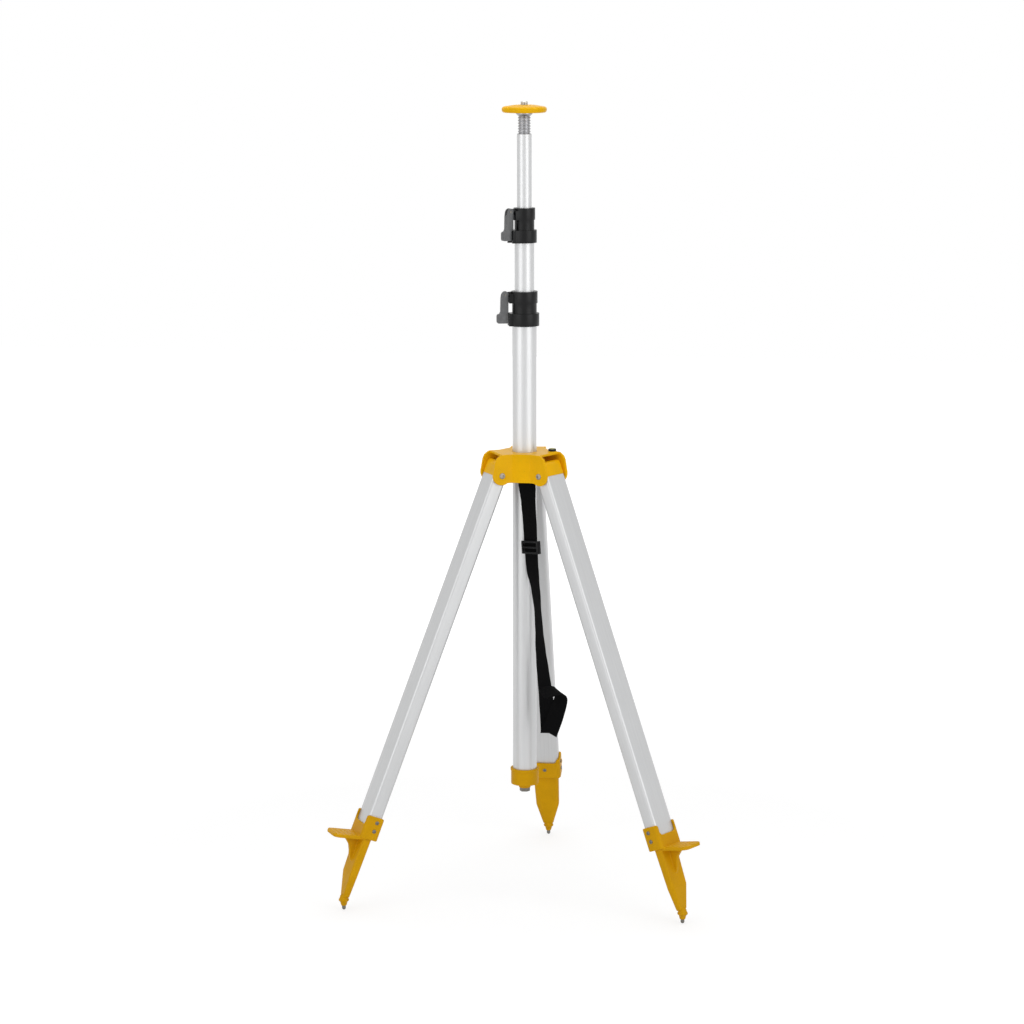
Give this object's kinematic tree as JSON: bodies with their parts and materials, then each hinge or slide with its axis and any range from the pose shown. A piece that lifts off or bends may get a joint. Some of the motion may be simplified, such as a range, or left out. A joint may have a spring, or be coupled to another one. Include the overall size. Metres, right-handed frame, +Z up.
{
  "type": "laser level tripod",
  "caption": "folding aluminium tripod with a lever-clamped telescoping mast, cast spiked feet and a threaded head plate that carries a laser level",
  "frame": {"origin": "on the mast's axis at ground level, between the three spikes", "axes": "+Z up along the mast, rear leg towards +Y, front legs at 120 degrees to it on the left (-X) and right (+X)"},
  "size_m": [0.774, 0.6741, 1.6608],
  "materials": {
    "hub_yellow": "smooth yellow powder coat on a die-cast alloy",
    "foot_yellow": "satin yellow powder coat, slightly darker, on a cast alloy",
    "mast_aluminium": "satin clear-anodised drawn tube",
    "leg_aluminium": "matt clear-anodised extruded tube",
    "stem_aluminium": "turned, bright",
    "steel": "zinc plated",
    "dark_steel": "dark, bare and worn",
    "clamp_black": "black glass-filled nylon, satin",
    "lever_grey": "dark grey glass-filled nylon, satin",
    "inner_plastic": "plain moulded plastic",
    "level_glass": "clear acrylic over green-yellow fluid",
    "webbing": "woven polypropylene webbing",
    "buckle_black": "black acetal, satin"
  },
  "bodies": {
    "hub": {"hub_casting": "hub_yellow", "base_tube": "mast_aluminium", "hub_set_screws": "dark_steel", "mast_cap": "hub_yellow", "cap_plug": "inner_plastic", "cap_bolt": "steel", "pivot_bolts": "steel", "pivot_nuts": "steel", "level_cup": "clamp_black", "level_vial": "level_glass", "strap_plate": "steel", "strap_screws": "steel", "carry_strap": "webbing", "strap_buckle": "buckle_black", "lower_collar": "clamp_black", "lower_collar_screws": "steel", "lower_lever_pin": "steel"},
    "lower_lever": {"lower_lever": "lever_grey"},
    "lower_shoe": {"lower_brake_shoe": "inner_plastic"},
    "middle_mast": {"middle_tube": "mast_aluminium", "middle_guide": "inner_plastic", "upper_collar": "clamp_black", "upper_collar_screws": "steel", "upper_lever_pin": "steel"},
    "upper_lever": {"upper_lever": "lever_grey"},
    "upper_shoe": {"upper_brake_shoe": "inner_plastic"},
    "top_mast": {"top_tube": "mast_aluminium", "top_guide": "inner_plastic", "ribbed_stem": "stem_aluminium", "stem_pin": "steel", "head_plate": "hub_yellow", "mounting_stud": "stem_aluminium"},
    "left_leg": {"left_leg_head": "hub_yellow", "left_leg_tube": "leg_aluminium", "left_leg_rivets": "steel", "left_foot": "foot_yellow", "left_foot_screws": "steel", "left_spike": "dark_steel"},
    "right_leg": {"right_leg_head": "hub_yellow", "right_leg_tube": "leg_aluminium", "right_leg_rivets": "steel", "right_foot": "foot_yellow", "right_foot_screws": "steel", "right_spike": "dark_steel"},
    "rear_leg": {"rear_leg_head": "hub_yellow", "rear_leg_tube": "leg_aluminium", "rear_leg_rivets": "steel", "rear_foot": "foot_yellow", "rear_foot_screws": "steel", "rear_spike": "dark_steel"}
  },
  "joints": [
    {"name": "middle_mast_slide", "type": "slide", "parent": "hub", "child": "middle_mast", "axis": [0, 0, 1], "range_m": [-0.088, 0.72]},
    {"name": "top_mast_slide", "type": "slide", "parent": "middle_mast", "child": "top_mast", "axis": [0, 0, 1], "range_m": [-0.165, 0.64]},
    {"name": "lower_lever_hinge", "type": "hinge", "parent": "hub", "child": "lower_lever", "pos_m": [-0.03864, -0.01035, 1.26676], "axis": [-0.2588, 0.9659, 0], "range_deg": [0, 100]},
    {"name": "upper_lever_hinge", "type": "hinge", "parent": "middle_mast", "child": "upper_lever", "pos_m": [-0.02758, -0.02155, 1.43776], "axis": [-0.6157, 0.788, 0], "range_deg": [0, 100]},
    {"name": "lower_shoe_slide", "type": "slide", "parent": "hub", "child": "lower_shoe", "axis": [-0.9659, -0.2588, 0], "range_m": [0, 0.0009]},
    {"name": "upper_shoe_slide", "type": "slide", "parent": "middle_mast", "child": "upper_shoe", "axis": [-0.788, -0.6157, 0], "range_m": [0, 0.0009]},
    {"name": "left_leg_fold", "type": "hinge", "parent": "hub", "child": "left_leg", "pos_m": [-0.05629, -0.0325, 0.89776], "axis": [0.5, -0.866, 0], "range_deg": [0, 21.8]},
    {"name": "right_leg_fold", "type": "hinge", "parent": "hub", "child": "right_leg", "pos_m": [0.05629, -0.0325, 0.89776], "axis": [0.5, 0.866, 0], "range_deg": [0, 21.8]},
    {"name": "rear_leg_fold", "type": "hinge", "parent": "hub", "child": "rear_leg", "pos_m": [0, 0.065, 0.89776], "axis": [-1, 0, 0], "range_deg": [0, 21.8]}
  ],
  "couplings": [
    {"joint": "lower_shoe_slide", "follows": "lower_lever_hinge", "m_per_rad": 0.00045837},
    {"joint": "upper_shoe_slide", "follows": "upper_lever_hinge", "m_per_rad": 0.00045837}
  ]
}
